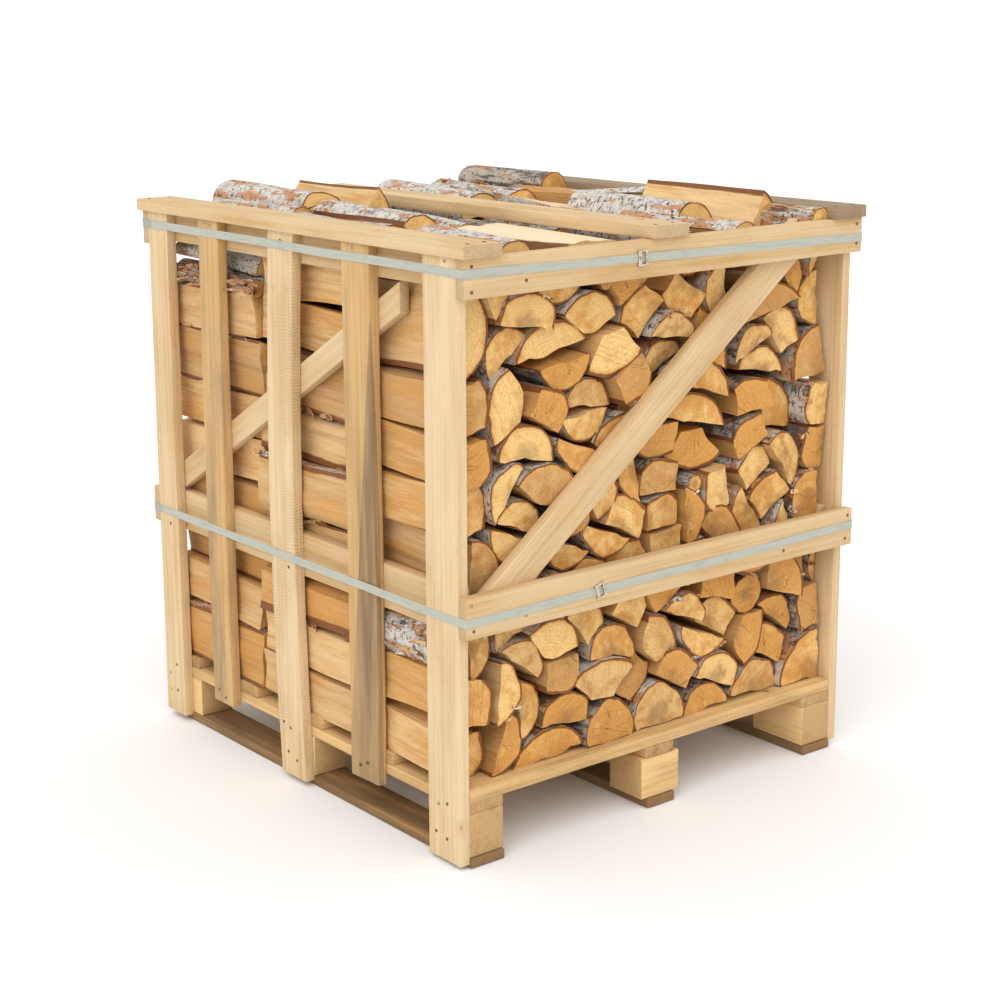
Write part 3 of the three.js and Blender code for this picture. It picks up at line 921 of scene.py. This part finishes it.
# Radius, splits, turn in degrees, slot, and look.
loose_logs = {
    "round": (0.050, [], 2, "birch_bark", (0.05, 0.62, 0.3)),
    "half": (0.060, [(0.0, 140)], -3, "birch_log", (0.25, 0.6, 0.5)),
    "squared": (0.048, [(0.035, 0), (0.034, 180), (0.031, 270)], -4, "birch_log", (0.35, 0.3, 0.2)),
    "flat": (0.150, [(0.0745, 0), (0.0745, 180), (-0.111, 90)], 3, "birch_log", (0.02, 0.1, 0.9)),
    "bark_half": (0.058, [(0.0, 290)], 0, "birch_bark", (0.25, 0.25, 0.6)),
    "quarter": (0.090, [(0.0, 273), (0.0, 152)], 0, "birch_log", (0.22, 0.2, 0.4)),
    "white": (0.052, [(0.0, 280)], 0, "birch_bark", (0.05, 0.2, 0.5)),
}


def settle(log, middle, yaw, tip, look):
    """Tips a log along its length, turns it, and brings the middle of its box to a place."""
    places = places_of(log) @ numpy.array(Matrix.Rotation(tip, 3, "X")).T
    places = places @ numpy.array(Matrix.Rotation(yaw, 3, "Z")).T
    places += numpy.array(middle) - (places.min(0) + places.max(0)) / 2
    put_places(log, places)
    store_look(log, "log_look", look)


def middle_of(node):
    return [(a + b) / 2 for a, b in zip(*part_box(node))]


for kind, (radius, splits, yaw, slot, look) in loose_logs.items():
    log = split_log("loose_" + kind, radius, splits, swing=loose_swing)
    settle(log, middle_of("loose_log_" + kind), math.radians(yaw), 0.0, look)
    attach(log, "root")
    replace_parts(log, "loose_log_" + kind)
stick = split_log("fallen_stick", 0.009, [], 0.096, 0.3)
settle(stick, middle_of("loose_stick"), math.radians(-40), 0.0, (0.3, 0.6, 0.5))
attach(stick, "root")
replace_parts(stick, "loose_stick")

# Smaller logs lie between them: radius, splits, length, middle, turn and tip in degrees, look.
small_logs = [
    (0.040, [(0.0, 262)], 0.31, (-0.165, 0.010, 1.094), -3, 1, (0.2, 0.3, 0.4)),
    (0.036, [], 0.30, (-0.368, 0.300, 1.098), 3, -1, (0.3, 0.5, 0.3)),
    (0.075, [(0.0, 310), (0.0, 235)], 0.31, (-0.385, -0.020, 1.090), 2, 0, (0.5, 0.3, 0.6)),
    (0.044, [(0.0, 285)], 0.32, (-0.285, -0.275, 1.092), -5, 1, (0.15, 0.5, 0.2)),
    (0.070, [(0.0, 130), (0.0, 50)], 0.30, (-0.385, -0.330, 1.086), 0, 0, (0.3, 0.2, 0.7)),
    (0.062, [(0.0, 80)], 0.32, (0.205, 0.120, 1.094), -6, 2, (0.05, 0.3, 0.8)),
    (0.055, [(0.036, 0), (0.034, 180), (0.020, 90)], 0.30, (0.330, 0.130, 1.086), 3, 0, (0.9, 0.8, 0.7)),
    (0.044, [], 0.27, (0.368, 0.375, 1.112), 5, 0, (0.75, 0.3, 0.2)),
    (0.050, [(0.0, 250)], 0.30, (0.260, 0.350, 1.096), -2, 0, (0.4, 0.6, 0.4)),
    (0.038, [(0.0, 295)], 0.30, (0.090, -0.060, 1.090), 2, 0, (0.1, 0.7, 0.6)),
    (0.046, [(0.0, 270)], 0.30, (0.080, -0.350, 1.086), -3, 0, (0.2, 0.35, 0.5)),
    (0.036, [(0.0, 240)], 0.30, (0.215, -0.345, 1.088), 6, 0, (0.25, 0.8, 0.3)),
    (0.032, [], 0.26, (0.392, -0.400, 1.098), 3, 1, (0.5, 0.7, 0.3)),
    (0.045, [(0.0, 215), (0.0, 300)], 0.20, (0.372, 0.040, 1.112), 12, -4, (0.3, 0.2, 0.4)),
    (0.034, [(0.0, 272)], 0.31, (-0.415, 0.345, 1.027), 1, 2, (0.2, 0.4, 0.3)),
]
small = []
for radius, splits, length, middle, yaw, tip, look in small_logs:
    small.append(split_log("small", radius, splits, length, loose_swing))
    settle(small[-1], middle, math.radians(yaw), math.radians(tip), look)
join_logs(small, "small_loose_logs")


# ---- Splinters and curls of bark ----
# The axe leaves slivers of wood and torn strips of bark. They are caught between the logs at the front, on
# both sides and on top.
bark_share = 0.65              # of the strips, the rest are wood
strip_thickness = 0.0012


def tear_strip(long, wide, curl, finish):
    """A thin strip, wider in the middle, that curls along its length."""
    bpy.ops.object.select_all(action="DESELECT")
    bpy.ops.mesh.primitive_grid_add(x_subdivisions=9, y_subdivisions=3, size=1.0)
    strip = bpy.context.object
    bpy.ops.object.mode_set(mode="EDIT")
    bpy.ops.mesh.select_all(action="SELECT")
    bpy.ops.transform.resize(value=(long, wide, 1.0))
    bpy.ops.object.mode_set(mode="OBJECT")
    places = places_of(strip)
    shift = Vector(noise.random_unit_vector()) * 30
    for place in places:
        x, y, _ = place
        taper = 1 - (abs(x) * 2 / long) ** 2 * 0.85
        frayed = noise.noise(Vector((x * 160, y * 400, 0)) + shift) * 0.3
        angle = curl * x / long
        reach = long / curl
        place[:] = (reach * math.sin(angle), y * (taper + frayed), reach * (1 - math.cos(angle)))
        place[2] += (y / wide) ** 2 * wide * 0.5
    put_places(strip, places)
    thick = strip.modifiers.new("thick", "SOLIDIFY")
    thick.thickness = strip_thickness
    bpy.ops.object.modifier_apply(modifier="thick")
    paint(strip, finish)
    store(strip, "section", places_of(strip) * numpy.array([14.0, 1.0, 14.0]) + numpy.array([0.6, 0.0, 0.5]))
    store_look(strip, "log_look", (dice.random() * 0.6, dice.uniform(0.4, 2.4), dice.random()))
    return strip


def scatter(name, count, bundles, outward, depth, longest, spin):
    """Strips that cling to the logs of some bundles, where these come nearest to one side of the crate.

    The depth is how far behind the foremost log they may sit, and the spin how far they turn from level.
    """
    spots = []
    for bundle in bundles:
        piece = bpy.data.objects[bundle]
        section = numpy.empty(len(piece.data.vertices) * 3)
        piece.data.attributes["section"].data.foreach_get("vector", section)
        across, _, up = section.reshape(-1, 3).T
        spots.append(places_of(piece)[numpy.hypot(across, up) > 0.97])
    spots = numpy.concatenate(spots)
    # only edges of bark hold a strip, and not at the very end of a log
    margin = longest * 0.6 * (1 - numpy.abs(outward))
    clear = (spots > spots.min(0) + margin) & (spots < spots.max(0) - margin)
    spots = spots[(clear | (margin == 0)).all(1)]
    reach = spots @ numpy.array(outward)
    spots = spots[reach > reach.max() - depth]
    strips = []
    for _ in range(count):
        bark = dice.random() < bark_share
        long = dice.uniform(0.35, 1.0) * longest
        wide = dice.uniform(0.003, 0.005 + longest * 0.1)
        strip = tear_strip(long, wide, dice.uniform(0.4, 1.8), log_finishes[2 if bark else 1])
        turn = Vector(outward).to_track_quat("Z", "Y").to_matrix().to_4x4()
        spun = Matrix.Rotation(dice.uniform(-1, 1) * spin + math.pi * dice.randint(0, 1), 4, "Z")
        tilt = Matrix.Rotation(dice.uniform(-0.4, 0.4), 4, "X")
        place = Vector(dice.choice(spots)) - Vector(outward) * 0.001
        strip.data.transform(Matrix.Translation(place) @ turn @ spun @ tilt)
        strips.append(strip)
    join_logs(strips, name)


all_logs = [f"logs_{rank}_{layer}" for rank in rank_seeds for layer in layers]
front_logs = all_logs[:len(layers)]
top_logs = ["logs_front_upper", "logs_middle_upper", "small_loose_logs"]
scatter("splinters_front", 30, front_logs, (0, -1, 0), 0.012, 0.04, 0.5)
scatter("splinters_left", 90, all_logs, (-1, 0, 0), 0.03, 0.10, 0.2)
scatter("splinters_right", 50, all_logs, (1, 0, 0), 0.03, 0.10, 0.2)
scatter("splinters_top", 22, top_logs, (0, 0, 1), 0.09, 0.05, 0.5)
for master in masters:
    bpy.data.objects.remove(master)


# ---- Straps ----
# Two bands of woven polyester, sixteen millimetres wide and pale grey-green, are pulled tight round the
# crate over the rails. Fine cords run along the band, and it rounds every corner of the wood.
strap_pale = (0.575, 0.58, 0.49, 1)
strap_deep = (0.35, 0.38, 0.32, 1)
strap_corner = 0.0035          # how the band rounds a corner of the wood
strap_station = 0.04           # it gets a row of points this often, so that it can sway


def strap_weave():
    finish, start = new_finish("strap_weave")
    weave = stored(start, "weave")
    run, rise, _ = parts_of(weave)
    cords = (rise * 4200.0).maths("SINE")
    wefts = (run * 2600.0).maths("SINE")
    wear = mottle(weave, (22.0, 160.0, 1.0), 3.0)
    colour = blend(ramp(cords, -0.6, 1.0) * 0.25 + ramp(wear, 0.45, 0.75) * 0.4, strap_pale, strap_deep)
    coat(finish, start, colour, 0.42 + wear * 0.2, cords * 0.6 + wefts * 0.35 + wear * 0.5, 0.0004, 0.4)
    return finish


strap_finish = strap_weave()
for node in ("strap_top", "strap_middle"):
    strap = copy_of(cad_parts[node], node + "_band")
    paint(strap, strap_finish)
    open_mesh(strap)
    bpy.ops.mesh.remove_doubles(threshold=1e-5)
    bpy.ops.mesh.dissolve_limited(angle_limit=math.radians(0.2))
    bpy.ops.mesh.select_all(action="DESELECT")
    for edge in bmesh.from_edit_mesh(strap.data).edges:
        rise = abs(edge.verts[0].co.z - edge.verts[1].co.z)
        edge.select_set(rise > 0.9 * edge.calc_length())
    bpy.ops.mesh.bevel(offset=strap_corner, segments=4, affect="EDGES")
    low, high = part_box(node)
    for axis, normal in enumerate((Vector((1, 0, 0)), Vector((0, 1, 0)))):
        steps = round((high[axis] - low[axis]) / strap_station)
        for i in range(1, steps):
            slice_mesh(normal * (low[axis] + (high[axis] - low[axis]) * i / steps), normal)
    bpy.ops.object.mode_set(mode="OBJECT")
    places = places_of(strap)
    own = node == "strap_top"
    for place in places:
        x, y, _ = place
        place[2] += noise.noise(Vector((x * 4, y * 4, own * 9))) * 0.0018
        outward = Vector((x, y, 0)).normalized() * noise.noise(Vector((x * 9, y * 9, 5 + own * 9))) * 0.0004
        place[0] += outward.x
        place[1] += outward.y
    on_end = abs(places[:, 1]) > high[1] - 0.004
    run = numpy.where(on_end, places[:, 0], places[:, 1])
    store(strap, "weave", numpy.array([run, places[:, 2], numpy.full(len(run), float(own))]).T)
    put_places(strap, places)
    smooth(strap, 50)
    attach(strap, "root")
    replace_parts(strap, node)


# ---- Buckles ----
# A rectangle bent from galvanised wire, with two bars across it. Both ends of the band are folded round it
# and tighten on themselves.
wire_radius = 0.0018
bend_radius = 0.0042
buckle_wide = 0.034
buckle_tall = 0.025
folded_tall = 0.0155           # the band where it is folded round the buckle
fold_run = 0.014               # how far the band runs in to the buckle
fold_back = 0.008              # and how far its end lies back on it
fold_thickness = 0.0008
steel_bright = (0.80, 0.72, 0.62, 1)
steel_rust = (0.34, 0.17, 0.075, 1)
buckle_turns = {"strap_buckle_top": 0.05, "strap_buckle_middle": 0.28}


def buckle_steel():
    finish, start = new_finish("buckle_steel")
    place = start.node("TexCoord", {}, {}, output="Object")
    dull = mottle(place, (300.0, 300.0, 300.0), 3.0)
    tarnish = ramp(mottle(place, (120.0, 120.0, 120.0)), 0.5, 0.7)
    colour = blend(tarnish * 0.8, steel_bright, steel_rust)
    coat(finish, start, colour, 0.3 + dull * 0.3, dull, 0.0002, 0.5, 1.0 - tarnish * 0.5)
    return finish


def bend_buckle(steel):
    """Follows the wire round the frame: straight along each side, then a quarter turn at each corner."""
    bpy.ops.object.select_all(action="DESELECT")
    bpy.ops.mesh.primitive_circle_add(vertices=10, radius=wire_radius, rotation=(0, math.pi / 2, 0))
    frame_wire = bpy.context.object
    bpy.ops.object.transform_apply(location=True, rotation=True, scale=True)
    open_mesh(frame_wire)
    corner = Vector((-buckle_wide / 2 + bend_radius, 0, -buckle_tall / 2))
    bpy.ops.transform.translate(value=corner)
    heading = Vector((1, 0, 0))
    inward = Vector((0, 0, 1))
    for side in range(4):
        straight = (buckle_wide if side % 2 == 0 else buckle_tall) - 2 * bend_radius
        bpy.ops.mesh.extrude_region_move(TRANSFORM_OT_translate={"value": heading * straight})
        corner = corner + heading * straight
        bend_middle = corner + inward * bend_radius
        bpy.ops.mesh.spin(
            steps=4, angle=math.pi / 2, center=bend_middle, axis=(0, -1, 0), use_auto_merge=False
        )
        corner = corner + (heading + inward) * bend_radius
        heading, inward = inward, -heading
    bpy.ops.mesh.select_all(action="SELECT")
    bpy.ops.mesh.remove_doubles(threshold=1e-5)
    bpy.ops.mesh.normals_make_consistent(inside=False)
    bpy.ops.object.mode_set(mode="OBJECT")
    pieces = [frame_wire]
    for x in (-buckle_wide * 0.22, buckle_wide * 0.2):
        bpy.ops.mesh.primitive_cylinder_add(
            vertices=10, radius=wire_radius * 0.9, depth=buckle_tall + wire_radius,
            location=(x, -wire_radius * 1.2, 0),
        )
        bar = bpy.context.object
        bpy.ops.object.transform_apply(location=True, rotation=True, scale=True)
        open_mesh(bar)
        bpy.ops.mesh.select_all(action="DESELECT")
        bpy.ops.mesh.edges_select_sharp(sharpness=math.radians(60))
        bpy.ops.mesh.bevel(offset=wire_radius * 0.4, segments=2, affect="EDGES")
        bpy.ops.object.mode_set(mode="OBJECT")
        pieces.append(bar)
    for piece in pieces:
        paint(piece, steel)
    return join(pieces)


def fold_strap(side):
    """One end of the band: it comes in flat, rounds the end bar of the buckle and lies back on itself."""
    bpy.ops.object.select_all(action="DESELECT")
    bpy.ops.mesh.primitive_plane_add(size=folded_tall, rotation=(math.pi / 2, 0, 0))
    fold = bpy.context.object
    bpy.ops.object.transform_apply(location=True, rotation=True, scale=True)
    open_mesh(fold)
    bar_x = side * buckle_wide / 2
    bpy.ops.mesh.delete(type="ONLY_FACE")
    bpy.ops.mesh.select_all(action="DESELECT")
    for edge in bmesh.from_edit_mesh(fold.data).edges:
        edge.select_set(all(vert.co.x > 0 for vert in edge.verts))
    bpy.ops.mesh.select_all(action="INVERT")
    bpy.ops.mesh.delete(type="VERT")
    bpy.ops.mesh.select_all(action="SELECT")
    bpy.ops.transform.translate(value=(bar_x + side * fold_run - folded_tall / 2, wire_radius * 0.4, 0))
    run_in = (-side * fold_run, wire_radius * 0.8, 0)
    bpy.ops.mesh.extrude_region_move(TRANSFORM_OT_translate={"value": run_in})
    bpy.ops.mesh.spin(
        steps=6, angle=math.pi, center=(bar_x, -wire_radius * 0.6, 0), axis=(0, 0, -side),
        use_auto_merge=False,
    )
    run_out = (side * fold_back, wire_radius * 0.4, 0)
    bpy.ops.mesh.extrude_region_move(TRANSFORM_OT_translate={"value": run_out})
    bpy.ops.object.mode_set(mode="OBJECT")
    thick = fold.modifiers.new("thick", "SOLIDIFY")
    thick.thickness = fold_thickness
    thick.offset = 0.0
    bpy.ops.object.modifier_apply(modifier="thick")
    paint(fold, strap_finish)
    places = places_of(fold)
    store(fold, "weave", numpy.array([places[:, 0], places[:, 2], numpy.full(len(places), 3.0)]).T)
    return fold


buckle_finish = buckle_steel()
for node, turn in buckle_turns.items():
    buckle = join([bend_buckle(buckle_finish), fold_strap(-1), fold_strap(1)])
    buckle.name = node + "_wire"
    buckle.data.transform(Matrix.Translation(middle_of(node)) @ Matrix.Rotation(-turn, 4, "Y"))
    smooth(buckle, 50)
    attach(buckle, "root")
    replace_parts(buckle, node)


# ---- Nails ----
# Plain round steel nails hold every board. Their heads are driven flush, or a little under, and have
# rusted. A hand nailer set them, so none stands quite in line with the next.
nail_head = 0.0031
nail_dark = (0.09, 0.055, 0.04, 1)
nail_brown = (0.22, 0.10, 0.05, 1)
foot_height = 0.06             # of the nails that hold the long slats to the blocks
top_board_nail = 0.535         # from the middle of a top board to its nails
brace_nails = (-0.36, 0.3)     # where an end rail is nailed to the brace behind it


def nail_rust():
    finish, start = new_finish("nail_rust")
    place = start.node("TexCoord", {}, {}, output="Object")
    rust = mottle(place, (260.0, 260.0, 260.0), 3.0)
    colour = blend(ramp(rust, 0.35, 0.65), nail_dark, nail_brown)
    coat(finish, start, colour, 0.55 + rust * 0.3, rust, 0.0003, 0.5)
    return finish


bpy.ops.object.select_all(action="DESELECT")
bpy.ops.mesh.primitive_cylinder_add(vertices=14, radius=nail_head, depth=0.0016)
head = bpy.context.object
open_mesh(head)
bpy.ops.mesh.select_all(action="DESELECT")
for face in bmesh.from_edit_mesh(head.data).faces:
    face.select_set(face.normal.z > 0.9)
bpy.ops.mesh.inset(thickness=nail_head * 0.3, depth=-0.0003)
bpy.ops.mesh.inset(thickness=nail_head * 0.3, depth=-0.0002)
bpy.ops.object.mode_set(mode="OBJECT")
paint(head, nail_rust())


def drive_nails(name, spots):
    """Copies of the head at (place, outward direction), each turned and sunk a little differently."""
    heads = []
    for place, outward in spots:
        nail = copy_of(head, "nail")
        turn = Vector(outward).to_track_quat("Z", "Y").to_matrix().to_4x4()
        slip = Vector([dice.uniform(-0.004, 0.004) * (1 - abs(n)) for n in outward])
        sunk = Vector(outward) * dice.uniform(-0.0006, 0.0003)
        nail.data.transform(Matrix.Translation(Vector(place) + slip + sunk) @ turn)
        heads.append(nail)
    nails = join(heads)
    nails.name = name
    smooth(nails, 40)
    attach(nails, "root")


for side, outward in (("left", (-1, 0, 0)), ("right", (1, 0, 0))):
    spots = []
    middle_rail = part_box("side_rail_middle_" + side)[0][2] + 0.022
    top_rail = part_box("side_rail_top_" + side)[1][2] - 0.012
    for i in range(1, 6):
        low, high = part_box(f"slat_{side}_{i}")
        face = low[0] if side == "left" else high[0]
        heights = [middle_of("stringer_" + side)[2], middle_rail, top_rail]
        if low[2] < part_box("runner_" + side)[1][2]:
            heights.append(foot_height)
        for z in heights:
            # two nails at each height, but only one at the middle rail
            first = dice.uniform(0.25, 0.45)
            second = first + dice.uniform(0.2, 0.35)
            for across in (first,) if z == middle_rail else (first, second):
                y = low[1] + (high[1] - low[1]) * across
                spots.append(((face, y, z + dice.uniform(-0.012, 0.012)), outward))
    drive_nails("nails_" + side, spots)

for end, outward in (("front", (0, -1, 0)), ("back", (0, 1, 0))):
    spots = []
    for rail in ("end_rail_top_", "end_rail_middle_"):
        low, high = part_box(rail + end)
        face = low[1] if end == "front" else high[1]
        for x in (low[0] + 0.018, high[0] - 0.018):
            for z in (low[2] + 0.014, high[2] - 0.013):
                spots.append(((x + dice.uniform(-0.006, 0.006), face, z), outward))
        for x in brace_nails:
            spots.append(((x, face, low[2] + 0.02), outward))
    drive_nails("nails_" + end, spots)

spots = []
for board in ("left", "middle", "right"):
    low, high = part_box("top_board_" + board)
    for y in (-top_board_nail, top_board_nail):
        for x in (low[0] * 0.75 + high[0] * 0.25, low[0] * 0.25 + high[0] * 0.75):
            spots.append(((x, y, high[2]), (0, 0, 1)))
drive_nails("nails_top", spots)
bpy.data.objects.remove(head)


# ---- Floor and light ----
# A white floor without an edge in sight, a broad soft light from the front left and above, and a pale sky
# that fills the shadows.
floor_pale = (0.93, 0.93, 0.93, 1)
floor_deep = (0.92, 0.92, 0.92, 1)

bpy.ops.object.select_all(action="DESELECT")
bpy.ops.mesh.primitive_plane_add(size=60, location=(0, 0, 0))
floor = bpy.context.object
floor.name = "floor"
floor_finish, floor_start = new_finish("floor")
floor_cloud = mottle(floor_start.node("TexCoord", {}, {}, output="Object"), (0.4, 0.4, 0.4))
floor_colour = blend(floor_cloud, floor_deep, floor_pale)
coat(floor_finish, floor_start, floor_colour, 0.9, floor_cloud, 0.0001, 0.1)
paint(floor, floor_finish)
floor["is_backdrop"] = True

sky = bpy.data.worlds.new("sky")
bpy.context.scene.world = sky
sky.use_nodes = True
sky.node_tree.nodes["Background"].inputs["Color"].default_value = (1.0, 1.0, 1.0, 1)
sky.node_tree.nodes["Background"].inputs["Strength"].default_value = 1.0

sun = bpy.data.objects.new("soft_sun", bpy.data.lights.new("soft_sun", "SUN"))
bpy.context.scene.collection.objects.link(sun)
sun.data.angle = math.radians(50)
sun.data.energy = 1.1
sun.location = (-3.0, -4.0, 5.0)
sun.rotation_euler = Vector((3.7, 3.0, -4.6)).to_track_quat("-Z", "Y").to_euler()

low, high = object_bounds()
